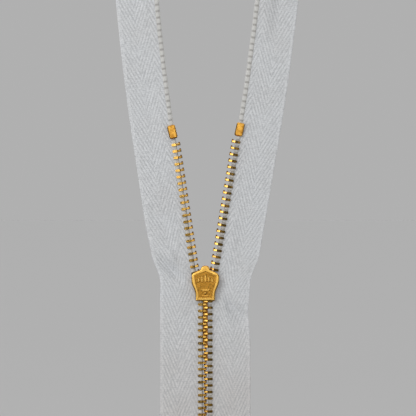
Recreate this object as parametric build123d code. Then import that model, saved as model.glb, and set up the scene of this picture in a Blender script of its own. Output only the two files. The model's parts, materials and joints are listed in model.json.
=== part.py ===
from build123d import *
import math
import os

# A metal-tooth zipper, partly open, standing along +Z with its pull on the +Y side.
# Millimetres. The origin is on the chain's centre line at its closed lower end.
# Below the slider the chain is closed. Above it each half leans outwards about a hinge line of
# its own, and inside the slider each row of teeth follows the channel from one line to the other.

# Chain
PITCH = 1.82
RIGHT_FIRST_Z = 1.13
LEFT_FIRST_Z = RIGHT_FIRST_Z + PITCH / 2
LEFT_TEETH = 54
RIGHT_TEETH = 55

# Tooth: a bar that grips the bead with two legs and reaches past the centre line with its head
TOOTH_H = 0.60
LEG_H = 0.70
LEG_ROUND = 0.26
NECK_X = -0.70
HEAD_BEVEL = 0.10
LEG_END_X = 2.08
LEG_END_HALF_Y = 0.88
CREST_X = -0.80
CREST_HALF_Y = 1.16
HEAD_ROOT_X = -0.60
HEAD_ROOT_HALF_Y = 1.02
TIP_X = 0.42
TIP_HALF_Y = 0.68
NUB_H = 0.36
NUB_X = 0.15
NUB_HALF = (0.24, 0.45)
DIMPLE_HALF = (0.29, 0.52)
DIMPLE_DEPTH = 0.17
FIT = 0.03

# Tape and its bead
BEAD_IN_X = 0.62
BEAD_OUT_X = 2.06
BEAD_HALF_Y = 0.62
MARGIN_IN_X = 4.60
TAPE_OUT_X = 12.47
WEB_T = 0.50
MARGIN_T = 0.60
TAPE_BOTTOM_Z = -22.0
TAPE_TOP_Z = 142.5
SPLIT_Z = 54.45
SPLIT_GAP = 0.20
TAIL_FROM_Z = 98.0
TAIL_BEND = 1.15
TAIL_REACH = 40.0

# Lean of the two open halves
HINGE_Z = {"left": 48.9, "right": 52.8}
LEAN = {"left": math.radians(8.6), "right": math.radians(9.6)}
SIDE = {"left": -1, "right": 1}
TURN_START_Z = 55.0
TURN_END_Z = 63.0

# Stops
TOP_STOP_Z = {"left": 102.2, "right": 103.0}
TOP_STOP_SIZE = (2.30, 2.50, 3.80)
TOP_STOP_TILT = {"left": 5.0, "right": 3.0}
TOP_STOP_X = 1.30
BOTTOM_STOP_Z = (-2.0, 0.25)
BOTTOM_STOP_HALF = (2.35, 1.25)

# Slider, with its own heights counted up from its lower end
SLIDER_Z = 54.0
BLADE_IN_Y = 1.32
BLADE_T = 0.95
BLADE_OUT_Y = BLADE_IN_Y + BLADE_T
FLANGE_IN_Y = 0.45
FLANGE_TOP = 6.9
FIELD_DEPTH = 0.42
MARK_HEIGHT = 0.30
LUG_HALF_X = 0.70
CROWN_HALF_X = 1.10
CROWN_CAVITY_HALF_X = 0.75
CROWN_BASE_Y = BLADE_OUT_Y + 0.02
CROWN_ROOF_Y = 4.25

# Pull tab
PIVOT_Y = 3.30
PIVOT_H = 4.50
BAR_R = 0.50
ARM_TOP = 0.75
EYE_LENGTH = 4.30
EYE_HALF_X = 1.78
TAB_HALF_X = 2.60
TAB_T = 1.10
TAB_LENGTH = 21.0
TAB_HOLE_R = 1.25
TAB_HOLE_DROP = 18.4

# Lock pin and its leaf spring
PIN_X = (-1.60, -1.20)
PIN_H = (1.50, 1.95)
PIN_TIP_Y = 0.85
PIN_ARM_Y = (2.75, 3.15)
PIN_BAR_H = (2.80, 3.25)
PIN_BAR_END_X = 0.60
LEAF_T = 0.12
LEAF_HALF_X = 0.50


def plate(edges, y_from, y_to):
    """Solid plate between two Y values, from a closed loop of edges in the XZ plane."""
    face = make_face(edges).face()
    if face.normal_at().Y < 0:
        face = -face
    solid = extrude(face, amount=y_to - y_from, dir=(0, 1, 0))
    return Pos(0, y_from, 0) * solid


def block(x, y, z):
    """Box from three pairs of low and high values."""
    size = (x[1] - x[0], y[1] - y[0], z[1] - z[0])
    centre = ((x[0] + x[1]) / 2, (y[0] + y[1]) / 2, (z[0] + z[1]) / 2)
    return Pos(*centre) * Box(*size)


def turned_share(z):
    """Share of the half's lean reached at height z: none below the slider, all above it."""
    t = min(max((z - TURN_START_Z) / (TURN_END_Z - TURN_START_Z), 0.0), 1.0)
    return t * t * (3 - 2 * t)


def lean_point(side, x, z):
    """Where a point of the closed half goes when it leans: x is its distance from the centre."""
    sign = SIDE[side]
    reach = z - HINGE_Z[side]
    height = z
    for _ in range(8):
        angle = turned_share(height) * LEAN[side]
        height = HINGE_Z[side] + reach * math.cos(angle) - x * math.sin(angle)
    across = x * math.cos(angle) + reach * math.sin(angle)
    tail = max(height - TAIL_FROM_Z, 0.0) / TAIL_REACH
    return (sign * (across - TAIL_BEND * tail ** 2), height)


def lean_tilt(side, x, z):
    """Lean of the row's own line at a point, in radians, outwards positive."""
    step = 0.01
    low = lean_point(side, x, z - step)
    high = lean_point(side, x, z + step)
    return math.atan2(SIDE[side] * (high[0] - low[0]), high[1] - low[1])


def tooth_shape():
    """One left tooth on the centre line's level: legs at -X, head and nub towards +X.

    Seen along the row, its two faces slope down from a crest to the leg ends and to the tip.
    """
    half = [
        (-LEG_END_X, LEG_END_HALF_Y),
        (CREST_X, CREST_HALF_Y),
        (HEAD_ROOT_X, HEAD_ROOT_HALF_Y),
        (TIP_X, TIP_HALF_Y),
    ]
    around = half + [(x, -y) for x, y in reversed(half)]
    outline = make_face(Polyline([(x, y, 0) for x, y in around], close=True))
    legs = extrude(outline, amount=LEG_H / 2, dir=(0, 0, 1), both=True)
    legs &= block((-3, NECK_X), (-2, 2), (-1, 1))
    legs = fillet(legs.edges().filter_by(Axis.Y).group_by(Axis.X)[0], LEG_ROUND)
    head = extrude(outline, amount=TOOTH_H / 2, dir=(0, 0, 1), both=True)
    head &= block((NECK_X - 0.1, 1), (-2, 2), (-1, 1))
    head = chamfer(head.edges().filter_by(Axis.Z).group_by(Axis.X)[-1], 0.16)
    flanks = head.faces().filter_by(lambda face: abs(face.normal_at().Y) > 0.8)
    head = chamfer(flanks.edges().filter_by(lambda edge: abs(edge.center().Z) > 0.2), HEAD_BEVEL)
    body = legs + head
    low_z = TOOTH_H / 2 - 0.05
    high_z = TOOTH_H / 2 + NUB_H
    nub = block(
        (NUB_X - NUB_HALF[0], NUB_X + NUB_HALF[0]), (-NUB_HALF[1], NUB_HALF[1]), (low_z, high_z)
    )
    nub = chamfer(nub.edges().group_by(Axis.Z)[-1], 0.10)
    dimple = block(
        (-NUB_X - DIMPLE_HALF[0], -NUB_X + DIMPLE_HALF[0]),
        (-DIMPLE_HALF[1], DIMPLE_HALF[1]),
        (-TOOTH_H, -TOOTH_H / 2 + DIMPLE_DEPTH),
    )
    pocket = block(
        (-LEG_END_X - 1.0, -BEAD_IN_X + FIT),
        (-BEAD_HALF_Y - FIT, BEAD_HALF_Y + FIT),
        (-TOOTH_H, TOOTH_H),
    )
    return body + nub - dimple - pocket


def side_tooth(side, tooth):
    """The tooth turned to face the centre line from its own side."""
    return tooth if side == "left" else mirror(tooth, about=Plane.YZ)


def set_tooth(side, tooth, z):
    """Tooth of one side carried to its place at rest, by where the bead's middle goes."""
    middle = (BEAD_IN_X + BEAD_OUT_X) / 2
    sign = SIDE[side]
    x, height = lean_point(side, middle, z)
    tilt = lean_tilt(side, middle, z)
    turn = Rot(0, math.degrees(sign * tilt), 0)
    return Pos(x, 0, height) * turn * Pos(-sign * middle, 0, 0) * tooth


def tooth_heights(side):
    """Heights of one side's teeth along its closed row."""
    first = LEFT_FIRST_Z if side == "left" else RIGHT_FIRST_Z
    count = LEFT_TEETH if side == "left" else RIGHT_TEETH
    return [first + PITCH * k for k in range(count)]


def zone(side, z):
    """Which stretch a tooth belongs to: below the slider's turn, inside it, or above it."""
    height = lean_point(side, (BEAD_IN_X + BEAD_OUT_X) / 2, z)[1]
    share = turned_share(height)
    if share <= 0.0:
        return "lower"
    return "inside" if share < 0.999 else "upper"


def closed_height(side, x, height):
    """Height on the closed half of a point that lies at this height once fully leaning."""
    rise = height - HINGE_Z[side] + x * math.sin(LEAN[side])
    return HINGE_Z[side] + rise / math.cos(LEAN[side])


def leaning_edge(side, x):
    """Long edge of the open half at one distance from the centre: a bend, a straight, a tail."""
    low = SPLIT_Z + SPLIT_GAP / 2
    turn_end = closed_height(side, x, TURN_END_Z)
    tail_start = closed_height(side, x, TAIL_FROM_Z)
    turn = [low + (turn_end - low) * k / 10 for k in range(11)]
    tail = [tail_start + (TAPE_TOP_Z - tail_start) * k / 4 for k in range(5)]
    along = (SIDE[side] * math.sin(LEAN[side]), 0, math.cos(LEAN[side]))
    turn_points = [(x_at, 0, z_at) for x_at, z_at in (lean_point(side, x, z) for z in turn)]
    tail_points = [(x_at, 0, z_at) for x_at, z_at in (lean_point(side, x, z) for z in tail)]
    bend = Spline(turn_points, tangents=((0, 0, 1), along))
    straight = Line(turn_points[-1], tail_points[0])
    return [bend, straight, Spline(tail_points)]


def leaning_strip(side, x_in, x_out, half_y):
    """Flat strip of the open half between two distances from the centre line."""
    inner = leaning_edge(side, x_in)
    outer = leaning_edge(side, x_out)
    bottom = Line(inner[0] @ 0, outer[0] @ 0)
    top = Line(inner[-1] @ 1, outer[-1] @ 1)
    return plate([*inner, top, *outer, bottom], -half_y, half_y)


def closed_strip(side, x_in, x_out, half_y):
    """Straight strip of the closed half below the slider."""
    ends = sorted((SIDE[side] * x_in, SIDE[side] * x_out))
    return block(ends, (-half_y, half_y), (TAPE_BOTTOM_Z, SPLIT_Z - SPLIT_GAP / 2))


def closed_tape(side):
    """Closed half's tape: a thin web beside the bead and a thicker sewing margin."""
    web = closed_strip(side, BEAD_OUT_X, MARGIN_IN_X + 0.1, WEB_T / 2)
    margin = closed_strip(side, MARGIN_IN_X, TAPE_OUT_X, MARGIN_T / 2)
    return web + margin


def open_tape(side):
    """Open half's tape, from the slider to its free end."""
    return leaning_strip(side, BEAD_OUT_X, TAPE_OUT_X, WEB_T / 2)


def top_stop(side):
    """Clamped stop on the open half's bead, with a bevelled face and a sunk panel on each side."""
    width, depth, length = TOP_STOP_SIZE
    middle = (BEAD_IN_X + BEAD_OUT_X) / 2
    sign = SIDE[side]
    shape = Box(width, depth, length)
    shape = fillet(shape.edges().filter_by(Axis.Y), 0.55)
    shape = chamfer(shape.faces().sort_by(Axis.Y)[0].edges(), 0.28)
    shape = chamfer(shape.faces().sort_by(Axis.Y)[-1].edges(), 0.28)
    panel = Box(width - 1.10, 0.2, length - 1.30)
    panel = fillet(panel.edges().filter_by(Axis.Y), 0.25)
    shape -= Pos(0, -depth / 2, 0) * panel
    shape -= Pos(0, depth / 2, 0) * panel
    shape = Pos(sign * TOP_STOP_X, 0, 0) * Rot(0, sign * TOP_STOP_TILT[side], 0) * shape
    ends = sorted((sign * (BEAD_IN_X - FIT), sign * 3.2))
    shape -= block(ends, (-BEAD_HALF_Y - FIT, BEAD_HALF_Y + FIT), (-length, length))
    x, height = lean_point(side, middle, TOP_STOP_Z[side])
    turn = Rot(0, math.degrees(sign * LEAN[side]), 0)
    return Pos(x, 0, height) * turn * Pos(-sign * middle, 0, 0) * shape


def bottom_stop():
    """Stop bridging both beads under the first teeth."""
    half_x, half_y = BOTTOM_STOP_HALF
    shape = block((-half_x, half_x), (-half_y, half_y), BOTTOM_STOP_Z)
    shape = chamfer(shape.edges().filter_by(Axis.Z), 0.35)
    shape = chamfer(shape.faces().sort_by(Axis.Y)[0].edges().filter_by(Axis.X), 0.2)
    shape = chamfer(shape.faces().sort_by(Axis.Y)[-1].edges().filter_by(Axis.X), 0.2)
    for side in ("left", "right"):
        ends = sorted((SIDE[side] * (BEAD_IN_X - FIT), SIDE[side] * 3.2))
        shape -= block(ends, (-BEAD_HALF_Y - FIT, BEAD_HALF_Y + FIT), (-5, 5))
    return shape


def mirrored_loop(edges):
    """Edges of the right half of an outline with their mirror images on the left."""
    return list(edges) + [mirror(edge, about=Plane.YZ) for edge in edges]


def blade_outline():
    """Blade seen face on: square foot, waist, round shoulders, a low roof and a nose."""
    foot = Line((0, 0, 0), (2.45, 0, 0))
    heel = ThreePointArc((2.45, 0, 0), (2.63, 0, 0.07), (2.70, 0, 0.25))
    waist = Spline(
        (2.70, 0, 0.25),
        (2.70, 0, 1.30),
        (2.82, 0, 2.35),
        (3.23, 0, 3.45),
        (3.68, 0, 4.60),
        (3.87, 0, 5.80),
        (3.88, 0, 6.50),
    )
    shoulder = ThreePointArc((3.88, 0, 6.50), (3.74, 0, 7.34), (3.20, 0, 7.88))
    roof = Line((3.20, 0, 7.88), (1.55, 0, 8.60))
    neck = ThreePointArc((1.55, 0, 8.60), (1.31, 0, 8.78), (1.24, 0, 9.05))
    nose = ThreePointArc((1.24, 0, 9.05), (0.90, 0, 9.56), (0, 0, 9.78))
    return mirrored_loop([foot, heel, waist, shoulder, roof, neck, nose])


def field_outline():
    """Sunk field of the plain blade, the blade's outline drawn in by its raised rim."""
    foot = Line((0, 0, 0.90), (2.02, 0, 0.90))
    waist = Spline(
        (2.02, 0, 0.90), (2.08, 0, 2.40), (2.38, 0, 3.50), (2.80, 0, 4.70), (3.00, 0, 5.90), (3.18, 0, 7.20)
    )
    roof = Line((3.18, 0, 7.20), (0, 0, 8.45))
    return mirrored_loop([foot, waist, roof])


def channel_outline():
    """Space between the flanges, open at both ends, that the two rows run through."""
    low = Line((0, 0, -1), (2.22, 0, -1))
    straight = Line((2.22, 0, -1), (2.24, 0, 0.6))
    flare = Spline((2.24, 0, 0.6), (2.38, 0, 2.2), (2.72, 0, 3.6), (3.22, 0, 5.2), (3.60, 0, FLANGE_TOP))
    step = Line((3.60, 0, FLANGE_TOP), (5, 0, FLANGE_TOP))
    out = Line((5, 0, FLANGE_TOP), (5, 0, 12))
    top = Line((5, 0, 12), (0, 0, 12))
    return mirrored_loop([low, straight, flare, step, out, top])


def diamond():
    """Wedge between the two channels that joins the blades at the mouth."""
    edges = [
        Line((0, 0, 5.35), (0.08, 0, 5.50)),
        Line((0.08, 0, 5.50), (1.0, 0, 8.6)),
        Line((1.0, 0, 8.6), (1.0, 0, 9.0)),
        ThreePointArc((1.0, 0, 9.0), (0.72, 0, 9.35), (0, 0, 9.55)),
    ]
    return plate(mirrored_loop(edges), -BLADE_IN_Y - 0.1, BLADE_IN_Y + 0.1)


def field_ornament():
    """Plain raised marks in the sunk field: upright ribs, two bars and a dome."""
    floor_y = -BLADE_OUT_Y + FIELD_DEPTH
    top_y = floor_y - MARK_HEIGHT
    marks = []
    for place, height in ((-1.9, 1.0), (-0.95, 1.45), (0, 1.9), (0.95, 1.45), (1.9, 1.0)):
        rib = block((place - 0.23, place + 0.23), (top_y, floor_y + 0.1), (5.35, 5.35 + height))
        marks.append(chamfer(rib.faces().sort_by(Axis.Y)[0].edges(), 0.08))
    for low, half, high in ((2.80, 1.10, 3.25), (1.30, 0.95, 1.55)):
        bar = block((-half, half), (top_y, floor_y + 0.1), (low, high))
        marks.append(chamfer(bar.faces().sort_by(Axis.Y)[0].edges(), 0.08))
    ball = Pos(0, floor_y + 0.14, 2.15) * Sphere(0.44)
    marks.append(ball & block((-1, 1), (-BLADE_OUT_Y, floor_y + 0.1), (1, 3)))
    return marks


def slider_body():
    """Two blades, their flanges and the diamond, cast as one, with two lugs for the crown."""
    plain = plate(blade_outline(), -BLADE_OUT_Y, -BLADE_IN_Y)
    plain = fillet(plain.faces().sort_by(Axis.Y)[0].edges(), 0.30)
    field = plate(field_outline(), -BLADE_OUT_Y - 1, -BLADE_OUT_Y + FIELD_DEPTH)
    plain -= field
    for mark in field_ornament():
        plain += mark
    face = plate(blade_outline(), BLADE_IN_Y, BLADE_OUT_Y)
    face = fillet(face.faces().sort_by(Axis.Y)[-1].edges(), 0.30)
    channel = plate(channel_outline(), -2, 2)
    low_flanges = plate(blade_outline(), -BLADE_IN_Y, -FLANGE_IN_Y) - channel
    high_flanges = plate(blade_outline(), FLANGE_IN_Y, BLADE_IN_Y) - channel
    lug_x = (-LUG_HALF_X, LUG_HALF_X)
    front_lug = block(lug_x, (BLADE_OUT_Y - 0.1, 3.30), (6.60, 7.90))
    rear_lug = block(lug_x, (BLADE_OUT_Y - 0.1, 3.00), (1.30, 2.05))
    body = plain + face + low_flanges + high_flanges + diamond() + front_lug + rear_lug
    slot = block((PIN_X[0] - 0.06, PIN_X[1] + 0.06), (1, 3), (PIN_H[0] - 0.06, PIN_H[1] + 0.06))
    return Pos(0, 0, SLIDER_Z) * (body - slot)


def slider_crown():
    """Arched cap over the lugs, hollow inside, with a window for the pull's bar."""
    arch = Spline(
        (0, CROWN_BASE_Y, 0.90),
        (0, 3.70, 1.25),
        (0, 4.60, 2.60),
        (0, 4.85, 4.60),
        (0, 4.60, 6.60),
        (0, 3.70, 8.05),
        (0, CROWN_BASE_Y, 8.45),
    )
    base = Line(arch @ 1, arch @ 0)
    shape = extrude(make_face([arch, base]), amount=CROWN_HALF_X, dir=(1, 0, 0), both=True)
    rims = [e for e in shape.edges() if e.length > 9 and abs(e.center().X) > 1]
    shape = fillet(rims, 0.25)
    inside = block(
        (-CROWN_CAVITY_HALF_X, CROWN_CAVITY_HALF_X), (CROWN_BASE_Y - 1, 3.40), (1.25, 7.95)
    )
    upper = block((-CROWN_CAVITY_HALF_X, CROWN_CAVITY_HALF_X), (3.3, CROWN_ROOF_Y), (2.35, 6.75))
    window = block((-2, 2), (CROWN_BASE_Y - 1, 4.20), (2.55, 5.45))
    return Pos(0, 0, SLIDER_Z) * (shape - inside - upper - window)


def tab_outline():
    """Pull tab seen face on, hanging down from the pivot, with a waist under its eye."""
    top = Line((0, 0, ARM_TOP), (1.95, 0, ARM_TOP))
    corner = ThreePointArc((1.95, 0, ARM_TOP), (2.41, 0, 0.56), (TAB_HALF_X, 0, 0.10))
    upper = Line((TAB_HALF_X, 0, 0.10), (TAB_HALF_X, 0, -4.80))
    side = ThreePointArc((TAB_HALF_X, 0, -4.80), (2.12, 0, -11.20), (2.75, 0, -17.60))
    end = ThreePointArc((2.75, 0, -17.60), (2.02, 0, -20.20), (0, 0, -TAB_LENGTH))
    return mirrored_loop([top, corner, upper, side, end])


def pull_tab():
    """Pull tab with its eye, the bar through the crown, a sunk panel and a hole at its end."""
    half = TAB_T / 2
    shape = plate(tab_outline(), -half, half)
    shape = chamfer(shape.faces().sort_by(Axis.Y)[0].edges(), 0.20)
    shape = chamfer(shape.faces().sort_by(Axis.Y)[-1].edges(), 0.20)
    bar = Rot(0, 90, 0) * Cylinder(BAR_R, 4 * EYE_HALF_X)
    shape -= block((-EYE_HALF_X, EYE_HALF_X), (-1, 1), (-EYE_LENGTH, 1.6)) - bar
    panel = block((-1.25, 1.25), (half - 0.18, 1), (-14.6, -6.4))
    shape -= fillet(panel.edges().filter_by(Axis.Y), 0.9)
    for step in range(5):
        drop = -8.1 - 1.2 * step
        rib = block((-0.75, 0.75), (half - 0.25, half - 0.04), (drop - 0.22, drop + 0.22))
        shape += chamfer(rib.faces().sort_by(Axis.Y)[-1].edges(), 0.07)
    shape -= Pos(0, 0, -TAB_HOLE_DROP) * Rot(90, 0, 0) * Cylinder(TAB_HOLE_R, 4)
    return Pos(0, PIVOT_Y, SLIDER_Z + PIVOT_H) * shape


def lock_pin():
    """Bent lock pin: a tip that drops between two teeth, an arm, and a bar under the spring."""
    stem = block(PIN_X, (PIN_TIP_Y, PIN_ARM_Y[1]), PIN_H)
    stem = chamfer(stem.faces().sort_by(Axis.Y)[0].edges(), 0.1)
    arm = block(PIN_X, PIN_ARM_Y, (PIN_H[0], PIN_BAR_H[1]))
    bar = block((PIN_X[0], PIN_BAR_END_X), PIN_ARM_Y, PIN_BAR_H)
    return Pos(0, 0, SLIDER_Z) * (stem + arm + bar)


def lock_spring():
    """Leaf spring under the crown's roof, bent down onto the lock pin's bar."""
    high = CROWN_ROOF_Y - 0.05
    low = PIN_ARM_Y[1] + 0.04
    edges = Polyline(
        (0, high, 6.6),
        (0, high, 3.75),
        (0, low + LEAF_T, 2.95),
        (0, low, 2.95),
        (0, high - LEAF_T, 3.85),
        (0, high - LEAF_T, 6.6),
        close=True,
    )
    leaf = extrude(make_face(edges), amount=LEAF_HALF_X, dir=(1, 0, 0), both=True)
    return Pos(0, 0, SLIDER_Z) * leaf


def write(name, shapes):
    """Write one node's solids as a STEP file, one solid or a group of separate ones."""
    solids = [solid for shape in shapes for solid in shape.solids()]
    shape = solids[0] if len(solids) == 1 else Compound(children=solids)
    export_step(shape, f"parts/{name}.step")


def write_side(side, tooth):
    """Write every node of one half of the zipper."""
    own_tooth = side_tooth(side, tooth)
    groups = {"lower": [], "inside": [], "upper": []}
    for z in tooth_heights(side):
        groups[zone(side, z)].append(set_tooth(side, own_tooth, z))
    write(f"{side}_teeth_lower", groups["lower"])
    write(f"{side}_teeth_upper", groups["upper"])
    for number, placed in enumerate(groups["inside"], start=1):
        write(f"{side}_tooth_in_slider_{number}", [placed])
    write(f"{side}_tape_lower", [closed_tape(side)])
    write(f"{side}_tape_upper", [open_tape(side)])
    write(f"{side}_bead_lower", [closed_strip(side, BEAD_IN_X, BEAD_OUT_X, BEAD_HALF_Y)])
    write(f"{side}_bead_upper", [leaning_strip(side, BEAD_IN_X, BEAD_OUT_X, BEAD_HALF_Y)])
    write(f"{side}_top_stop", [top_stop(side)])


def main():
    """Build and write every node."""
    os.makedirs("parts", exist_ok=True)
    tooth = tooth_shape()
    write_side("left", tooth)
    write_side("right", tooth)
    write("bottom_stop", [bottom_stop()])
    write("slider_body", [slider_body()])
    write("slider_crown", [slider_crown()])
    write("pull_tab", [pull_tab()])
    write("lock_pin", [lock_pin()])
    write("lock_spring", [lock_spring()])


if __name__ == "__main__":
    main()
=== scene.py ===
"""Looks of a partly open metal-tooth zipper: woven tapes, looped bead cords and brass hardware."""

from __future__ import annotations

import json
import logging
import math
from dataclasses import dataclass, field
from enum import Enum
from typing import Any

import bpy
import numpy as np
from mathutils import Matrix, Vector

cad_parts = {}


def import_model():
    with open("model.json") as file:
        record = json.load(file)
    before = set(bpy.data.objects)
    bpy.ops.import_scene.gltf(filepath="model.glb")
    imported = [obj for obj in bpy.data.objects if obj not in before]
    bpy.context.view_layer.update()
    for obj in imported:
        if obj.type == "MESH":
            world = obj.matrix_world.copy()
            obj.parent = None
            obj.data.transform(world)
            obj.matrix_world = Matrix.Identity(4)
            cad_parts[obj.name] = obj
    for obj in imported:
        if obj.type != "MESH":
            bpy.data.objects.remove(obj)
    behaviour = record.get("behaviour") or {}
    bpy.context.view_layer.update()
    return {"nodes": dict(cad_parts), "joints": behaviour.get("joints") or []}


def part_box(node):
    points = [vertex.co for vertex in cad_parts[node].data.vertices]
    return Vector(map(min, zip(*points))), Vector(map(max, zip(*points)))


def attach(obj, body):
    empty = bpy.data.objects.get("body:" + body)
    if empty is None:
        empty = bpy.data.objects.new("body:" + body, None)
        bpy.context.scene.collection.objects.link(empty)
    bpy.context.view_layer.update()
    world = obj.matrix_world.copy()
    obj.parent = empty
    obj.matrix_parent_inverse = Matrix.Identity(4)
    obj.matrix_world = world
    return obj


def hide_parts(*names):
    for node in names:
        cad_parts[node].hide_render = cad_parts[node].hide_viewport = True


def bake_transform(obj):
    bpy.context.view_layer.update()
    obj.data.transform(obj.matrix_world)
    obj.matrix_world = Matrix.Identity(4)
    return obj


LOG = logging.getLogger("zipper")
MM = 0.001
Colour = tuple[float, float, float]
Array = np.ndarray

TAPE_TOP = 142.5 * MM
LEAN_FROM_Z = 55.0 * MM
LEAN_TO_Z = 63.0 * MM
FIELD_DEPTH = 0.40 * MM


class Side(Enum):
    """Half of the zipper, by the sign of X on which it lies."""

    LEFT = -1
    RIGHT = 1

    @property
    def word(self) -> str:
        """Name of the side as the frame's nodes, bodies and joints spell it."""
        return self.name.lower()


def smoothstep(t: Array) -> Array:
    """Ease from 0 to 1 with flat ends: t squared times three minus two t, t cut to 0..1.

    Args:
        t: Values to ease.

    Returns:
        Eased values.
    """
    t = np.clip(t, 0.0, 1.0)
    return t * t * (3.0 - 2.0 * t)


# ---------------------------------------------------------------------------
# Geometry of the two halves
# ---------------------------------------------------------------------------


@dataclass(frozen=True)
class TurnZone:
    """Stretch over which a piece goes from the closed chain's pose to its half's lean."""

    start: tuple[float, float, float]
    end: tuple[float, float, float]

    def weight(self, x: Array, z: Array) -> Array:
        """Share of the lean at points of the XZ plane: eased distance along start to end.

        Args:
            x: X of the points at rest, in metres.
            z: Z of the points at rest, in metres.

        Returns:
            Shares from 0 to 1.
        """
        run_x = self.end[0] - self.start[0]
        run_z = self.end[2] - self.start[2]
        along = (x - self.start[0]) * run_x + (z - self.start[2]) * run_z
        return smoothstep(along / (run_x**2 + run_z**2))


@dataclass(frozen=True)
class Tail:
    """Free end of a half, which curves back towards the centre line above the top stops."""

    start: float = 98.0 * MM
    reach: float = 40.0 * MM
    bend: float = 1.15 * MM

    def share(self, z: Array) -> Array:
        """How far along the tail a point lies, in reaches: 0 up to its start."""
        return np.clip((z - self.start) / self.reach, 0.0, None)

    def inward(self, z: Array) -> Array:
        """Shift towards the centre line: the bend times the share squared."""
        return self.bend * self.share(z) ** 2


@dataclass(frozen=True)
class Half:
    """One half of the zipper: its side and the hinge that its open part leans about."""

    side: Side
    hinge_z: float
    lean: float

    @classmethod
    def from_frame(cls, side: Side, joints: list[dict[str, Any]]) -> Half:
        """Read a half's hinge height and lean from the frame's joints.

        Args:
            side: Which half.
            joints: The frame's joints.

        Returns:
            The half.
        """
        joint = next(j for j in joints if j["name"] == f"{side.word}_half_swing")
        return cls(side, joint["pos_m"][2], math.radians(joint["range_deg"][1]))

    @property
    def open_body(self) -> str:
        """Name of the body that carries this half above the slider."""
        return f"{self.side.word}_half"

    def opened(self, x: Array, z: Array, zone: TurnZone) -> tuple[Array, Array]:
        """Carry points of the closed half to rest: each turns about the hinge by its share.

        The share depends on where the point ends up, so it is found by repetition.

        Args:
            x: X of the points with the zipper closed, in metres.
            z: Z of the points with the zipper closed, in metres.
            zone: Where the lean sets in.

        Returns:
            X and Z at rest.
        """
        sign = self.side.value
        reach = z - self.hinge_z
        x_rest, z_rest = x, z
        for _ in range(12):
            angle = zone.weight(x_rest, z_rest) * self.lean
            cos, sin = np.cos(angle), np.sin(angle)
            x_rest = x * cos + sign * reach * sin
            z_rest = self.hinge_z + reach * cos - sign * x * sin
        return x_rest, z_rest


def mesh_piece(name: str, points: Array, faces: list[Array], closed: bool = True) -> bpy.types.Object:
    """Make a smooth mesh object from points and arrays of faces, turned right side out.

    The enclosed volume, summed over the faces, says whether they point inwards.

    Args:
        name: Name of the object.
        points: Points, one row each, in metres.
        faces: Arrays of quads or other faces, one row each.
        closed: Whether the surface encloses a volume.

    Returns:
        The linked object.
    """
    volume = 0.0
    for group in faces:
        first = points[group[:, 0]]
        for k in range(1, group.shape[1] - 1):
            volume += np.einsum("ij,ij->", first, np.cross(points[group[:, k]], points[group[:, k + 1]]))
    if closed and volume < 0:
        faces = [group[:, ::-1] for group in faces]
    mesh = bpy.data.meshes.new(name)
    rows = [row for group in faces for row in group.tolist()]
    mesh.from_pydata(points.tolist(), [], rows)
    mesh.polygons.foreach_set("use_smooth", np.ones(len(mesh.polygons), bool))
    mesh.update()
    piece = bpy.data.objects.new(name, mesh)
    bpy.context.scene.collection.objects.link(piece)
    return piece


def set_uv(piece: bpy.types.Object, name: str, values: Array) -> None:
    """Store two numbers for each point as a UV map.

    Args:
        piece: Object with a mesh.
        name: Name of the UV map.
        values: One row of two numbers for each point.
    """
    mesh = piece.data
    corner = np.empty(len(mesh.loops), np.int32)
    mesh.loops.foreach_get("vertex_index", corner)
    layer = mesh.uv_layers.new(name=name)
    layer.data.foreach_set("uv", values[corner].astype(np.float32).ravel())


def ring_quads(rows: int, columns: int) -> Array:
    """Quads between the rows of a grid whose columns close into a ring.

    Args:
        rows: Number of rings.
        columns: Number of points in a ring.

    Returns:
        Quads as rows of four point numbers.
    """
    row = np.arange(rows - 1)[:, None] * columns
    here = np.arange(columns)[None, :]
    after = (here + 1) % columns
    quads = np.stack([row + here, row + after, row + columns + after, row + columns + here], axis=-1)
    return quads.reshape(-1, 4)


# ---------------------------------------------------------------------------
# Shader building
# ---------------------------------------------------------------------------


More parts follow.
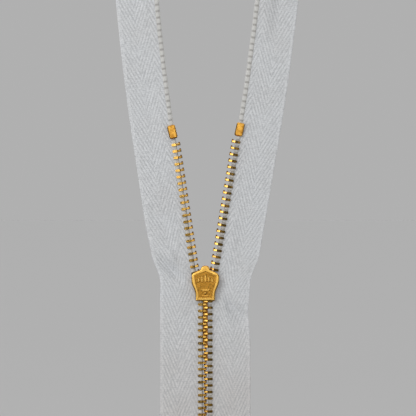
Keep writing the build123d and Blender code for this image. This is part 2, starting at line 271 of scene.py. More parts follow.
class Graph:
    """Node tree of a material or of the surroundings, with one method for every kind of node."""

    def __init__(self, holder: bpy.types.Material | bpy.types.World) -> None:
        """Clear the holder's nodes.

        Args:
            holder: The material or world that owns the nodes.
        """
        self.holder = holder
        self.holder.use_nodes = True
        self.tree = holder.node_tree
        self.tree.nodes.clear()

    @classmethod
    def for_material(cls, name: str) -> Graph:
        """Start an empty material.

        Args:
            name: Name of the material.

        Returns:
            Its graph.
        """
        return cls(bpy.data.materials.new(name))

    def node(self, kind: str, settings: dict[str, Any] | None = None, **inputs: Any) -> bpy.types.Node:
        """Add a node.

        Args:
            kind: Blender's type name of the node.
            settings: Properties of the node, which are set first.
            **inputs: Values or links by socket name, with _ for a space, or by number as i6.

        Returns:
            The node.
        """
        made = self.tree.nodes.new(kind)
        for key, value in (settings or {}).items():
            setattr(made, key, value)
        for key, value in inputs.items():
            numbered = key[0] == "i" and key[1:].isdigit()
            socket = made.inputs[int(key[1:])] if numbered else made.inputs[key.replace("_", " ")]
            self._feed(socket, value)
        return made

    def _feed(self, socket: bpy.types.NodeSocket, value: Any) -> None:
        """Link or set a socket.

        Args:
            socket: The socket to feed.
            value: A Shade, a socket, a number, a colour or a vector.
        """
        if isinstance(value, Shade):
            value = value.socket
        if isinstance(value, bpy.types.NodeSocket):
            self.tree.links.new(value, socket)
        elif socket.type == "RGBA" and len(value) == 3:
            socket.default_value = (*value, 1.0)
        else:
            socket.default_value = value

    def maths(self, operation: str, *values: Any) -> Shade:
        """Math node on numbers or shades.

        Args:
            operation: Blender's name of the operation.
            *values: Its inputs in order.

        Returns:
            The result.
        """
        inputs = {f"i{k}": value for k, value in enumerate(values)}
        return Shade(self, self.node("ShaderNodeMath", {"operation": operation}, **inputs).outputs[0])

    def mix(self, share: Any, first: Any, second: Any) -> bpy.types.NodeSocket:
        """Mix two colours.

        Args:
            share: How much of the second, a number or a shade.
            first: Colour or socket.
            second: Colour or socket.

        Returns:
            The colour's socket.
        """
        settings = {"data_type": "RGBA", "clamp_factor": True}
        return self.node("ShaderNodeMix", settings, i0=share, i6=first, i7=second).outputs[2]

    def noise(self, vector: Any, scale: float, detail: float = 2.0, roughness: float = 0.5) -> Shade:
        """Noise between 0 and 1.

        Args:
            vector: Coordinates.
            scale: Waves for each unit of the coordinates.
            detail: Number of finer layers.
            roughness: Strength of the finer layers.

        Returns:
            The noise.
        """
        made = self.node(
            "ShaderNodeTexNoise", None, Vector=vector, Scale=scale, Detail=detail, Roughness=roughness
        )
        return Shade(self, made.outputs[0])

    def object_point(self) -> bpy.types.NodeSocket:
        """Object coordinates, in metres in the shared frame."""
        return self.node("ShaderNodeTexCoord").outputs["Object"]

    def facing(self) -> bpy.types.NodeSocket:
        """Direction in which the surface faces, in the object's own coordinates."""
        return self.node("ShaderNodeTexCoord").outputs["Normal"]

    def parabola(self, phase: Shade) -> Shade:
        """One hump for each whole phase: 1 less the square of the part turned to -1..1."""
        part = phase.turn_part() * 2.0 - 1.0
        return 1.0 - part * part

    def split(self, vector: Any) -> tuple[Shade, Shade, Shade]:
        """Three components of a vector.

        Args:
            vector: The vector's socket.

        Returns:
            X, Y and Z.
        """
        made = self.node("ShaderNodeSeparateXYZ", None, Vector=vector)
        return tuple(Shade(self, output) for output in made.outputs)

    def bump(self, height: Any, distance: float, strength: float = 1.0, normal: Any = None) -> Any:
        """Normal tilted by a height.

        Args:
            height: Height between 0 and 1.
            distance: What a height of 1 means, in metres.
            strength: Share of the effect.
            normal: Normal to start from.

        Returns:
            The normal's socket.
        """
        inputs = {"Height": height, "Distance": distance, "Strength": strength}
        if normal is not None:
            inputs["Normal"] = normal
        return self.node("ShaderNodeBump", None, **inputs).outputs[0]

    def surface(self, **inputs: Any) -> bpy.types.Material:
        """Finish the material with one principled surface.

        Args:
            **inputs: Values or links of the surface's sockets.

        Returns:
            The material.
        """
        made = self.node("ShaderNodeBsdfPrincipled", None, **inputs)
        self.node("ShaderNodeOutputMaterial", None, Surface=made.outputs[0])
        return self.holder


class Shade:
    """Number that varies over a surface, with Python's operators as Math nodes."""

    def __init__(self, graph: Graph, socket: bpy.types.NodeSocket) -> None:
        """Wrap a socket.

        Args:
            graph: The graph that holds it.
            socket: The number's socket.
        """
        self.graph = graph
        self.socket = socket

    def __add__(self, other: Any) -> Shade:
        """Sum."""
        return self.graph.maths("ADD", self, other)

    __radd__ = __add__

    def __sub__(self, other: Any) -> Shade:
        """Difference."""
        return self.graph.maths("SUBTRACT", self, other)

    def __rsub__(self, other: Any) -> Shade:
        """Difference from a number."""
        return self.graph.maths("SUBTRACT", other, self)

    def __mul__(self, other: Any) -> Shade:
        """Product."""
        return self.graph.maths("MULTIPLY", self, other)

    __rmul__ = __mul__

    def __truediv__(self, other: Any) -> Shade:
        """Quotient."""
        return self.graph.maths("DIVIDE", self, other)

    def __pow__(self, other: Any) -> Shade:
        """Power."""
        return self.graph.maths("POWER", self, other)

    def __gt__(self, other: Any) -> Shade:
        """1 where greater, 0 elsewhere."""
        return self.graph.maths("GREATER_THAN", self, other)

    def __lt__(self, other: Any) -> Shade:
        """1 where less, 0 elsewhere."""
        return self.graph.maths("LESS_THAN", self, other)

    def size(self) -> Shade:
        """Value without its sign."""
        return self.graph.maths("ABSOLUTE", self)

    def turn_part(self) -> Shade:
        """Part after the whole number below."""
        return self.graph.maths("FRACT", self)

    def between(self, low: float, high: float) -> Shade:
        """Rise from 0 at low to 1 at high, eased.

        Args:
            low: Value that gives 0.
            high: Value that gives 1.

        Returns:
            The eased share.
        """
        settings = {"interpolation_type": "SMOOTHSTEP"}
        made = self.graph.node("ShaderNodeMapRange", settings, Value=self, From_Min=low, From_Max=high)
        return Shade(self.graph, made.outputs[0])


# ---------------------------------------------------------------------------
# Weave
# ---------------------------------------------------------------------------


@dataclass(frozen=True)
class Herringbone:
    """Herringbone weave: bands of slanting ribs whose slant turns over at each band's edge."""

    spacing: float = 0.92 * MM
    climb: float = 2.15 * MM
    turns: tuple[float, float] = (3.75 * MM, 7.70 * MM)
    selvedge: float = 11.95 * MM

    def slant(self, across: Array) -> Array:
        """+1 where the ribs climb inwards, -1 where they climb outwards.

        Args:
            across: Distance from the zipper's centre line, in metres.

        Returns:
            Signs.
        """
        low, high = self.turns
        return np.where((across > low) & (across < high), 1.0, -1.0)

    def rib(self, across: Array, along: Array) -> Array:
        """Height of the ribs, 0 in a groove and 1 on a crest.

        The phase grows with the distance across and, by the slant, with the distance along.
        Its part after the whole number gives a parabola from groove to groove.

        Args:
            across: Distance from the zipper's centre line, in metres.
            along: Distance along the tape, in metres.

        Returns:
            Heights.
        """
        phase = across / self.spacing + self.slant(across) * along / self.climb
        part = phase - np.floor(phase)
        return 1.0 - (2.0 * part - 1.0) ** 2

    def shade(self, graph: Graph, across: Shade, along: Shade) -> Shade:
        """The same height in a material.

        Args:
            graph: The material's graph.
            across: Distance from the centre line, in metres.
            along: Distance along the tape, in metres.

        Returns:
            Heights from 0 to 1.
        """
        low, high = self.turns
        slant = (across > low) * (across < high) * 2.0 - 1.0
        return graph.parabola(across / self.spacing + slant * along / self.climb)


# ---------------------------------------------------------------------------
# Finishes
# ---------------------------------------------------------------------------


@dataclass(frozen=True)
class TapeFinish:
    """Bleached woven polyester: thread ribs, fine yarns, faint shade changes, painted shade that darkens
    the tape towards its lower end, and soft sheen.
    """

    weave: Herringbone
    thread: Colour = (0.74, 0.755, 0.77)
    # groove colour: painted shade in the weave's grooves and between yarns, and the tone of dark slubs
    groove: Colour = (0.30, 0.31, 0.32)
    # aged colour: random tone in patches, and the painted shade towards the tape's lower end
    aged: Colour = (0.63, 0.605, 0.59)
    yarn_pitch: float = 0.55 * MM
    edge_fade: float = 0.25 * MM
    # painted shade: the height where it starts, and the height over which it grows downwards
    handled_below: float = 62.0 * MM
    handled_over: float = 40.0 * MM
    fuzz_scale: float = 9000.0
    slub_scale: float = 2300.0
    uneven_scale: float = 260.0
    patch_scale: float = 90.0
    yarn_depth: float = 0.03 * MM
    rib_depth: float = 0.04 * MM
    fuzz_depth: float = 0.02 * MM

    def material(self) -> bpy.types.Material:
        """Build the tape's material on its weave map.

        Painted shade darkens the ribs towards their grooves and the gaps between the yarns, which cross
        them at even steps along the tape; both fade in and out in patches, as threads lie higher or
        lower. Random slubs take the same dark colour.
        """
        graph = Graph.for_material("woven_tape")
        weave = graph.node("ShaderNodeUVMap", {"uv_map": "weave"}).outputs[0]
        point = graph.object_point()
        across, along, _ = graph.split(weave)
        rib = self.weave.shade(graph, across, along)
        yarn = graph.parabola(along / self.yarn_pitch)
        fuzz = graph.noise(point, self.fuzz_scale)
        slub = graph.noise(point, self.slub_scale, roughness=0.6)
        patch = graph.noise(point, self.patch_scale, detail=3.0)
        uneven = graph.noise(point, self.uneven_scale)
        selvedge = across.between(self.weave.selvedge - self.edge_fade, self.weave.selvedge)
        clear = uneven.between(0.25, 0.60) * 0.55 + 0.45
        # painted shade towards the grooves of the ribs
        depth = (1.0 - rib) ** 1.4 * (1.0 - selvedge) * clear * 0.50
        # painted shade: the tape darkens downwards from below the slider, as if less light fell there
        lower_shade = along.between(self.handled_below, self.handled_below - self.handled_over)
        age_and_shade = patch.between(0.35, 0.75) * 0.25 + lower_shade * 0.65
        grain = slub.between(0.66, 0.30) * 0.38 + (1.0 - fuzz) * 0.08
        colour = graph.mix(age_and_shade, self.thread, self.aged)
        colour = graph.mix(depth, colour, self.groove)
        # painted shade between the yarns
        colour = graph.mix((1.0 - yarn) * (1.3 - clear) * 0.30, colour, self.groove)
        colour = graph.mix(grain, colour, self.groove)
        yarn_bump = graph.bump(yarn, self.yarn_depth, 0.5)
        rib_bump = graph.bump(rib, self.rib_depth, 0.35, yarn_bump)
        fuzz_bump = graph.bump(fuzz, self.fuzz_depth, 0.5, rib_bump)
        return graph.surface(
            Base_Color=colour,
            Roughness=fuzz * 0.12 + 0.80,
            Normal=fuzz_bump,
            Sheen_Weight=0.25,
            Sheen_Roughness=0.4,
            Specular_IOR_Level=0.25,
        )


@dataclass(frozen=True)
class BeadFinish:
    """Knitted edge cord: faintly cream loops, with painted shade in a small hollow beside the tape at
    each loop.
    """

    loop: Colour = (0.66, 0.655, 0.635)
    # hollow colour: painted shade between loops and strands, and the tone of dark fuzz
    hollow: Colour = (0.27, 0.26, 0.24)
    pitch: float = 1.82 * MM
    strands: float = 9.0
    twist: float = 4.0
    fuzz_scale: float = 6000.0
    relief: float = 0.03 * MM

    def material(self) -> bpy.types.Material:
        """Build the cord's material on its loop map: turns round it and metres along it.

        Painted shade darkens each loop towards its ends, most on the flanks, and its strands slant round
        it, with painted shade between them.
        """
        graph = Graph.for_material("bead_cord")
        loops = graph.node("ShaderNodeUVMap", {"uv_map": "loops"}).outputs[0]
        around, along, _ = graph.split(loops)
        beside = 1.0 - (((around * 2.0).turn_part() - 0.5).size() * 2.0)
        outer = beside.between(0.30, 0.62)
        loop = along / self.pitch
        gap = (loop.turn_part() * 2.0 - 1.0).size().between(0.45, 0.95)
        strand = graph.parabola(loop * self.strands + around * self.twist)
        fuzz = graph.noise(graph.object_point(), self.fuzz_scale, 3.0, 0.6)
        # painted shade in the dips between loops and between strands
        depth = gap * 0.22 + gap * outer * 0.45 + (1.0 - strand) * 0.10
        colour = graph.mix(depth, self.loop, self.hollow)
        colour = graph.mix(fuzz.between(0.6, 0.3) * 0.22, colour, self.hollow)
        bumped = graph.bump(strand, self.relief, 0.5)
        bumped = graph.bump(fuzz, self.relief, 0.6, bumped)
        return graph.surface(
            Base_Color=colour,
            Roughness=fuzz * 0.1 + 0.82,
            Normal=bumped,
            Sheen_Weight=0.2,
            Specular_IOR_Level=0.25,
        )


@dataclass(frozen=True)
class BrassFinish:
    """Yellow brass: polished or cast, with tarnish in patches, fine grain and faint scratches.

    Dirt and painted shade, where there is any, lie near the zipper's middle plane: the surfaces deep
    between the teeth are painted darker, as shade would fall there.
    """

    name: str
    polished: Colour = (0.95, 0.52, 0.095)
    tarnished: Colour = (0.55, 0.22, 0.02)
    roughness: float = 0.20
    grain: float = 0.010 * MM
    grain_scale: float = 5000.0
    tarnish: float = 0.35
    # dirt and painted shade between the teeth: the dark colour, and the depths over which it fades out
    dirt: Colour = (0.10, 0.035, 0.004)
    dirty_to: float = 0.35 * MM
    clean_from: float = 1.02 * MM
    dirt_share: float = 0.0
    patch_scale: float = 700.0
    scratch_scale: tuple[float, float, float] = (9000.0, 9000.0, 700.0)
    scratch_depth: float = 0.002 * MM

    def material(self) -> bpy.types.Material:
        """Build the brass on object coordinates."""
        graph = Graph.for_material(self.name)
        point = graph.object_point()
        grain = graph.noise(point, self.grain_scale, 3.0, 0.6)
        patch = graph.noise(point, self.patch_scale, 3.0, 0.6).between(0.42, 0.72)
        stretched = graph.node("ShaderNodeMapping", None, Vector=point, Scale=self.scratch_scale)
        scratch = graph.noise(stretched.outputs[0], 1.0, 1.0)
        share = patch * self.tarnish + grain.between(0.45, 0.75) * self.tarnish * 0.4
        colour = graph.mix(share, self.polished, self.tarnished)
        # dirt and painted shade: darker the nearer a surface lies to the middle plane, deep in the chain
        if self.dirt_share:
            _, depth, _ = graph.split(point)
            deep = 1.0 - depth.size().between(self.dirty_to, self.clean_from)
            colour = graph.mix(deep * self.dirt_share, colour, self.dirt)
        normal = graph.bump(grain, self.grain, 1.0)
        normal = graph.bump(scratch, self.scratch_depth, 0.6, normal)
        return graph.surface(
            Base_Color=colour,
            Metallic=1.0,
            Roughness=patch * 0.16 + grain * 0.10 + self.roughness,
            Normal=normal,
        )


@dataclass(frozen=True)
class SliderFinish:
    """Die-cast slider: worn bright rims, a grainy darker field sunk in the plain blade, and painted
    shade on the sideways-facing walls near the rim.

    Y grows from the rim into the slider, so field_y is greater than rim_y.
    """

    field_y: float
    rim_y: float
    polished: Colour = (0.98, 0.58, 0.13)
    cast: Colour = (0.80, 0.38, 0.05)
    # dark colour of the field's grain, and of the painted shade on the walls
    soot: Colour = (0.16, 0.06, 0.006)
    rim_wear: float = 0.12 * MM
    field_ends: tuple[float, float] = (0.12 * MM, 0.06 * MM)
    # depths below the rim over which the walls' painted shade comes in
    walls_end: tuple[float, float] = (1.6 * MM, 0.9 * MM)
    grain_scale: float = 3600.0
    patch_scale: float = 600.0
    grain_depth: float = 0.05 * MM

    def material(self) -> bpy.types.Material:
        """Build the slider's brass, masked by depth below the rim and by facing.

        The field lies between the rim's worn edge and its own ground, and is painted darker with grain.
        The plain blade's walls are the parts near the rim that face sideways, and they get painted
        shade.
        """
        graph = Graph.for_material("slider_brass")
        point = graph.object_point()
        _, depth, _ = graph.split(point)
        _, facing, _ = graph.split(graph.facing())
        raised = depth.between(self.field_y, self.rim_y + self.rim_wear)
        none_from, all_to = (self.field_y + end for end in self.field_ends)
        sunk = depth.between(none_from, all_to) * (1.0 - raised)
        none_from, all_to = (self.rim_y + end for end in self.walls_end)
        # painted shade on the sideways-facing walls near the rim
        wall_shade = facing.size().between(0.80, 0.35) * depth.between(none_from, all_to)
        grain = graph.noise(point, self.grain_scale, 4.0, 0.7)
        patch = graph.noise(point, self.patch_scale, 3.0, 0.6).between(0.40, 0.70)
        colour = graph.mix(patch * 0.30, self.polished, self.cast)
        sunk_dark_grain = graph.mix(grain.between(0.40, 0.62) * 0.7, self.cast, self.soot)
        colour = graph.mix(sunk * 0.9, colour, sunk_dark_grain)
        # painted shade on the walls
        colour = graph.mix(wall_shade * 0.75, colour, self.soot)
        normal = graph.bump(grain * (sunk * 0.9 + 0.10), self.grain_depth)
        return graph.surface(
            Base_Color=colour,
            Metallic=1.0,
            Roughness=patch * 0.08 + sunk * 0.14 + 0.14,
            Normal=normal,
        )


@dataclass(frozen=True)
class SteelFinish:
    """Spring steel: grey, drawn lengthwise, with a faint straw tint."""

    steel: Colour = (0.56, 0.55, 0.53)
    straw: Colour = (0.48, 0.40, 0.28)
    drawn_scale: tuple[float, float, float] = (9000.0, 9000.0, 600.0)
    patch_scale: float = 900.0
    streak_depth: float = 0.004 * MM

    def material(self) -> bpy.types.Material:
        """Build the steel on object coordinates."""
        graph = Graph.for_material("lock_steel")
        point = graph.object_point()
        drawn = graph.node("ShaderNodeMapping", None, Vector=point, Scale=self.drawn_scale)
        streak = graph.noise(drawn.outputs[0], 1.0)
        patch = graph.noise(point, self.patch_scale)
        colour = graph.mix(patch * 0.6, self.steel, self.straw)
        return graph.surface(
            Base_Color=colour,
            Metallic=1.0,
            Roughness=streak * 0.2 + 0.22,
            Normal=graph.bump(streak, self.streak_depth, 0.8),
        )


# ---------------------------------------------------------------------------
# Soft pieces
# ---------------------------------------------------------------------------


@dataclass(frozen=True)
class Pucker:
    """Soft fold in the tape: a hollow with a ridge beside it, along a slanting line.

    The centre is X and Z, the heading is in degrees from +X towards +Z, and the ridge has a
    share of the hollow's depth and stands some widths beside it.
    """

    centre: tuple[float, float]
    heading: float
    length: float
    width: float
    depth: float
    ridge: float = 0.55
    ridge_at: float = 1.7

    def offset(self, x: Array, z: Array) -> Array:
        """Y offset at points of the tape.

        A bell along the line times a bell across it, less half of a shifted bell, so that
        the tape rises beside the hollow.

        Args:
            x: X of the points, in metres.
            z: Z of the points, in metres.

        Returns:
            Offsets, away from the plain blade's side positive.
        """
        heading = math.radians(self.heading)
        run, rise = math.cos(heading), math.sin(heading)
        dx, dz = x - self.centre[0], z - self.centre[1]
        along = (dx * run + dz * rise) / self.length
        across = (dz * run - dx * rise) / self.width
        hollow = np.exp(-(across**2)) - self.ridge * np.exp(-((across - self.ridge_at) ** 2))
        return self.depth * hollow * np.exp(-(along**2))


@dataclass(frozen=True)
class Dent:
    """Narrower place in the tape: the outer part is drawn in by pull, around a height."""

    middle: float
    spread: float
    pull: float

    def inward(self, z: Array) -> Array:
        """Shift towards the centre line: the pull times a bell over the height."""
        return self.pull * np.exp(-(((z - self.middle) / self.spread) ** 2))


PUCKERS = {
    Side.LEFT: (
        Pucker((-9.0 * MM, 62.5 * MM), -40.0, 5.0 * MM, 1.6 * MM, 1.7 * MM),
        Pucker((-9.5 * MM, 70.5 * MM), -58.0, 6.0 * MM, 2.2 * MM, 0.4 * MM),
    ),
    Side.RIGHT: (
        Pucker((8.6 * MM, 51.0 * MM), -45.0, 4.6 * MM, 1.8 * MM, 1.5 * MM),
        Pucker((9.8 * MM, 42.0 * MM), -70.0, 6.0 * MM, 2.4 * MM, 0.4 * MM),
    ),
}
DENTS = {
    Side.LEFT: (Dent(66.0 * MM, 6.0 * MM, 0.55 * MM),),
    Side.RIGHT: (Dent(51.0 * MM, 5.0 * MM, 0.65 * MM),),
}


@dataclass(frozen=True)
class Wave:
    """Slow rise and fall along the tape, of some height, with a length for each radian."""

    height: float
    length: float
    start: float = 0.0

    def offset(self, z: Array) -> Array:
        """Y offset: the height times a sine of the place along the tape."""
        return self.height * np.sin(z / self.length + self.start)


@dataclass
class Tape:
    """Woven tape of one half: one unbroken sheet from its lower end to its free upper end."""

    half: Half
    weave: Herringbone
    bottom: float
    top: float
    inner: float = 1.92 * MM
    outer: float = 12.47 * MM
    web: float = 0.46 * MM
    rib_height: float = 0.055 * MM
    columns: int = 76
    rows: int = 556
    edge_points: int = 3
    edge_pitch: float = 0.46 * MM
    edge_height: float = 0.03 * MM
    edge_inset: float = 0.2 * MM
    edge_over: float = 0.3 * MM
    free_from: float = 4.4 * MM
    free_over: float = 3.2 * MM
    lean_x: float = 2.0 * MM
    lean_run: tuple[float, float] = (2.11 * MM, 7.40 * MM)
    curl: float = 0.7 * MM
    tail: Tail = Tail()
    puckers: tuple[Pucker, ...] = ()
    dents: tuple[Dent, ...] = ()
    waves: tuple[Wave, ...] = field(init=False)
    zone: TurnZone = field(init=False)

    def __post_init__(self) -> None:
        """Set the tape's waves, and where the lean sets in: latest at the outer edge."""
        sign = self.half.side.value
        inward, up = self.lean_run
        start = (sign * self.lean_x, 0.0, LEAN_FROM_Z)
        self.zone = TurnZone(start, (start[0] - sign * inward, 0.0, start[2] + up))
        self.waves = (Wave(0.16 * MM, 11.0 * MM, float(sign)), Wave(0.10 * MM, 5.3 * MM))

    def _flat(self) -> tuple[Array, Array]:
        """Distance across and height along of each grid point with the zipper closed."""
        share = np.linspace(0.0, 1.0, self.columns)
        across = self.inner + (self.outer - self.inner) * share
        height = np.linspace(self.bottom, self.top, self.rows)
        return np.meshgrid(across, height)

    def _place(self, across: Array, height: Array) -> tuple[Array, Array, Array]:
        """Carry the flat grid to rest and work out its middle surface.

        The outer part lies free: it is drawn in by the dents, and its Y is the sum of the
        puckers, the waves and a curl that grows with the square of the way along the tail.

        Args:
            across: Distance from the centre line, in metres.
            height: Height with the zipper closed, in metres.

        Returns:
            X, Z and the Y of the middle surface.
        """
        sign = self.half.side.value
        x, z = self.half.opened(sign * across, height, self.zone)
        x = x - sign * self.tail.inward(z)
        free = smoothstep((across - self.free_from) / self.free_over)
        for dent in self.dents:
            x = x - sign * free * dent.inward(z)
        y = self.curl * self.tail.share(z) ** 2
        for pucker in self.puckers:
            y = y + pucker.offset(x, z)
        for wave in self.waves:
            y = y + wave.offset(z)
        return x, z, y * free

    def build(self) -> bpy.types.Object:
        """Build the sheet: both faces ribbed by the weave, a rounded selvedge, cut ends.

        A ring of points runs over the front face, round the selvedge and back, at each row.

        Returns:
            The piece.
        """
        across, height = self._flat()
        x, z, middle = self._place(across, height)
        edge_start = self.weave.selvedge - self.edge_inset
        flatten = 1.0 - smoothstep((across - edge_start) / self.edge_over)
        rib = self.rib_height * self.weave.rib(across, height) * flatten
        edge_rib = 0.5 + 0.5 * np.cos(height / self.edge_pitch * math.tau)
        rib = rib + (1.0 - flatten) * self.edge_height * edge_rib
        half_web = self.web / 2
        front = np.stack([x, middle - half_web - rib, z], axis=-1)
        back = np.stack([x, middle + half_web + rib, z], axis=-1)
        turn = np.linspace(-0.5, 0.5, self.edge_points + 2)[1:-1] * math.pi
        bulge = half_web + rib[:, -1:]
        edge = np.stack(
            [
                x[:, -1:] + self.half.side.value * bulge * np.cos(turn),
                middle[:, -1:] + bulge * np.sin(turn),
                np.repeat(z[:, -1:], self.edge_points, axis=1),
            ],
            axis=-1,
        )
        ring = np.concatenate([front, edge, back[:, ::-1]], axis=1)
        count = ring.shape[1]
        faces = [ring_quads(self.rows, count)]
        near = np.arange(self.columns - 1)
        far = count - 1 - near
        for base, order in ((0, 1), ((self.rows - 1) * count, -1)):
            strip = np.stack([near, far, far - 1, near + 1], axis=-1) + base
            faces.append(strip[:, ::order])
            rim = np.arange(self.columns - 1, self.columns + self.edge_points + 1)[::order] + base
            faces.append(rim[::-1][None, :])
        piece = mesh_piece(f"{self.half.side.word}_tape", ring.reshape(-1, 3), faces)
        edge_across = np.repeat(across[:, -1:], self.edge_points, axis=1)
        edge_height = np.repeat(height[:, -1:], self.edge_points, axis=1)
        map_u = np.concatenate([across, edge_across, across[:, ::-1]], axis=1)
        map_v = np.concatenate([height, edge_height, height[:, ::-1]], axis=1)
        set_uv(piece, "weave", np.stack([map_u, map_v], axis=-1).reshape(-1, 2))
        return piece

    def dress(self, piece: bpy.types.Object, material: bpy.types.Material) -> None:
        """Give the sheet its finish and its motion.

        Args:
            piece: The built sheet.
            material: Its finish.
        """
        word = self.half.side.word
        piece.data.materials.append(material)
        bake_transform(piece)
        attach(piece, "closed_chain")
        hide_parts(f"{word}_tape_lower", f"{word}_tape_upper")
        self.outer - self.inner
        self.top - self.bottom


@dataclass
class Bead:
    """Edge cord of one half: a flattened round cord with a loop to each tooth."""

    half: Half
    bottom: float
    top: float
    middle: float = 1.34 * MM
    half_x: float = 0.71 * MM
    half_y: float = 0.60 * MM
    loop: float = 1.82 * MM
    loop_height: float = 0.07 * MM
    columns: int = 20
    rows: int = 900
    tail: Tail = Tail()
    zone: TurnZone = TurnZone((0.0, 0.0, LEAN_FROM_Z), (0.0, 0.0, LEAN_TO_Z))

    def build(self) -> bpy.types.Object:
        """Build the cord: an oval carried along the row, swelling once for each loop.

        The oval's radius is less by the loop height between two loops, by the fourth power of
        the distance from a loop's middle.

        Returns:
            The piece.
        """
        sign = self.half.side.value
        angle, height = np.meshgrid(
            np.linspace(0.0, math.tau, self.columns, endpoint=False),
            np.linspace(self.bottom, self.top, self.rows),
        )
        phase = height / self.loop
        part = phase - np.floor(phase)
        less = self.loop_height * (2.0 * part - 1.0) ** 4
        across = self.middle + (self.half_x - less) * np.cos(angle)
        y = (self.half_y - less) * np.sin(angle)
        x, z = self.half.opened(sign * across, height, self.zone)
        x = x - sign * self.tail.inward(z)
        points = np.stack([x, y, z], axis=-1).reshape(-1, 3)
        low = np.arange(self.columns)[::-1][None, :]
        high = np.arange(self.columns)[None, :] + (self.rows - 1) * self.columns
        faces = [ring_quads(self.rows, self.columns), low, high]
        piece = mesh_piece(f"{self.half.side.word}_bead", points, faces)
        set_uv(piece, "loops", np.stack([angle / math.tau, height], axis=-1).reshape(-1, 2))
        return piece

    def dress(self, piece: bpy.types.Object, material: bpy.types.Material) -> None:
        """Give the cord its finish and its motion.

        Args:
            piece: The built cord.
            material: Its finish.
        """
        word = self.half.side.word
        piece.data.materials.append(material)
        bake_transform(piece)
        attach(piece, "closed_chain")
        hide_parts(f"{word}_bead_lower", f"{word}_bead_upper")


# ---------------------------------------------------------------------------
# Hardware and studio
# ---------------------------------------------------------------------------


@dataclass
class Hardware:
    """Metal pieces, whose shapes come from the frame and whose finishes are set here."""

    nodes: dict[str, bpy.types.Object]

    def dress(self, words: tuple[str, ...], material: bpy.types.Material) -> int:
        """Give one finish to every frame node whose name holds one of the words.

        Args:
            words: Parts of node names.
            material: The finish.

        Returns:
            How many nodes were dressed.
        """
        chosen = [o for name, o in self.nodes.items() if any(word in name for word in words)]
        for piece in chosen:
            for slot in piece.material_slots:
                slot.material = material
        return len(chosen)


@dataclass(frozen=True)
class Lamp:
    """Square soft light that looks at the zipper, placed by its direction and distance."""

    name: str
    azimuth: float
    elevation: float
    distance: float
    size: float
    power: float

    def build(self, target: Vector) -> None:
        """Hang the light and turn it towards a point.

        Azimuth 0 is square on to the plain blade, and grows towards +X.

        Args:
            target: The point.
        """
        turn, rise = math.radians(self.azimuth), math.radians(self.elevation)
        level = math.cos(rise)
        away = Vector((math.sin(turn) * level, -math.cos(turn) * level, math.sin(rise)))
        data = bpy.data.lights.new(self.name, "AREA")
        data.shape = "SQUARE"
        data.size = self.size
        data.energy = self.power
        lamp = bpy.data.objects.new(self.name, data)
        lamp.location = target + away * self.distance
        lamp.rotation_mode = "QUATERNION"
        lamp.rotation_quaternion = (-away).to_track_quat("-Z", "Y")
        lamp.visible_camera = False
        bpy.context.scene.collection.objects.link(lamp)


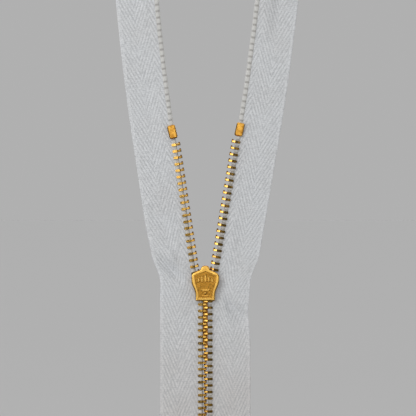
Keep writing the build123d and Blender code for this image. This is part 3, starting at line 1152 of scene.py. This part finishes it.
@dataclass
class Studio:
    """Camera square on to the plain blade, a pale floor and soft lights.

    The surroundings get stronger upwards and towards +Y, behind the zipper, each between two
    places that are shares of the sky's radius.
    """

    target: Vector = field(default_factory=lambda: Vector((0.76 * MM, 0.0, 80.05 * MM)))
    frame_width: float = 116.9 * MM
    distance: float = 0.62
    sensor: float = 36.0
    floor_z: float = -90.0 * MM
    floor_reach: float = 30.0
    floor_colour: Colour = (0.62, 0.62, 0.62)
    floor_shade: Colour = (0.56, 0.56, 0.56)
    backdrop: Colour = (0.435, 0.435, 0.435)
    soft_light: Colour = (1.0, 1.0, 1.0)
    base_strength: float = 0.06
    top_strength: float = 0.95
    top_from: tuple[float, float] = (0.20, 0.95)
    back_strength: float = 0.10
    back_from: tuple[float, float] = (-0.2, 0.9)
    lamps: tuple[Lamp, ...] = (
        Lamp("key", -34.0, 20.0, 0.60, 0.44, 1.36),
        Lamp("low_key", -37.0, -4.0, 0.60, 0.12, 0.09),
        Lamp("front", 0.0, 8.0, 0.80, 0.34, 0.50),
        Lamp("fill", 43.0, 0.0, 0.60, 0.18, 0.15),
        Lamp("back_key", 150.0, 14.0, 0.60, 0.30, 1.3),
        Lamp("back_fill", -140.0, 20.0, 0.60, 0.30, 0.6),
    )

    def camera(self) -> None:
        """Make the camera at the middle's height, with the frame's width at that distance."""
        data = bpy.data.cameras.new("camera")
        data.sensor_width = self.sensor
        data.lens = self.sensor * self.distance / self.frame_width
        data.clip_start = 0.01
        data.clip_end = 80.0
        camera = bpy.data.objects.new("camera", data)
        camera.location = self.target - Vector((0.0, self.distance, 0.0))
        camera.rotation_euler = (math.radians(90.0), 0.0, 0.0)
        bpy.context.scene.collection.objects.link(camera)
        bpy.context.scene.camera = camera

    def floor(self) -> None:
        """Make the wide pale floor, which the brass doesn't reflect."""
        reach = self.floor_reach
        corners = ((-reach, -reach), (reach, -reach), (reach, reach), (-reach, reach))
        points = np.array([(x, y, self.floor_z) for x, y in corners])
        floor = mesh_piece("floor", points, [np.array([[0, 1, 2, 3]])], closed=False)
        graph = Graph.for_material("floor")
        mottle = graph.noise(graph.object_point(), 6.0)
        colour = graph.mix(mottle * 0.10, self.floor_colour, self.floor_shade)
        floor.data.materials.append(graph.surface(Base_Color=colour, Roughness=0.9))
        floor.visible_glossy = False

    def surroundings(self) -> None:
        """Set the plain backdrop that the camera sees, and the darker soft light round it.

        The light's strength is a base, plus an eased rise with height and one towards the back.
        """
        graph = Graph(bpy.data.worlds.new("studio"))
        point = graph.node("ShaderNodeTexCoord").outputs["Generated"]
        _, back, up = graph.split(point)
        above = up.between(*self.top_from) * self.top_strength
        behind = back.between(*self.back_from) * self.back_strength
        strength = above + behind + self.base_strength
        light = graph.node("ShaderNodeBackground", None, Color=self.soft_light, Strength=strength)
        seen = graph.node("ShaderNodeBackground", None, Color=self.backdrop, Strength=1.0)
        ray = graph.node("ShaderNodeLightPath").outputs["Is Camera Ray"]
        both = graph.node("ShaderNodeMixShader", None, i0=ray, i1=light.outputs[0], i2=seen.outputs[0])
        graph.node("ShaderNodeOutputWorld", None, Surface=both.outputs[0])
        bpy.context.scene.world = graph.holder

    def light(self) -> None:
        """Set the surroundings and hang the lights."""
        self.surroundings()
        bpy.context.scene.view_settings.view_transform = "Standard"
        for lamp in self.lamps:
            lamp.build(self.target)


def main() -> None:
    """Load the frame, build the soft pieces, dress the hardware and set the studio."""
    logging.basicConfig(level=logging.INFO, format="%(name)s: %(message)s")
    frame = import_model()
    studio = Studio()
    studio.camera()
    studio.floor()
    studio.light()

    weave = Herringbone()
    tape_finish = TapeFinish(weave).material()
    bead_finish = BeadFinish().material()
    for side in Side:
        half = Half.from_frame(side, frame["joints"])
        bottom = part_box(f"{side.word}_tape_lower")[0][2]
        tape = Tape(half, weave, bottom, TAPE_TOP, puckers=PUCKERS[side], dents=DENTS[side])
        sheet = tape.build()
        bead = Bead(half, bottom, TAPE_TOP)
        cord = bead.build()
        bead.dress(cord, bead_finish)
        tape.dress(sheet, tape_finish)
        LOG.info("%s tape has %d faces", side.word, len(sheet.data.polygons))

    hardware = Hardware(frame["nodes"])
    rim_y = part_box("slider_body")[0][1]
    # the teeth get dirt and painted shade between them
    tooth = BrassFinish("tooth_brass", (0.98, 0.60, 0.14), roughness=0.09, tarnish=0.3, dirt_share=1.0)
    finishes = {
        ("_teeth_", "_tooth_"): tooth,
        ("_stop",): BrassFinish("stop_brass", (0.82, 0.44, 0.08), roughness=0.22, tarnish=0.7),
        ("slider_body", "slider_crown"): SliderFinish(rim_y + FIELD_DEPTH, rim_y),
        ("pull_tab",): BrassFinish("pull_brass", roughness=0.20, tarnish=0.35),
        ("lock_pin", "lock_spring"): SteelFinish(),
    }
    for words, finish in finishes.items():
        LOG.info("%s: %d nodes", " ".join(words), hardware.dress(words, finish.material()))


if __name__ == "__main__":
    main()
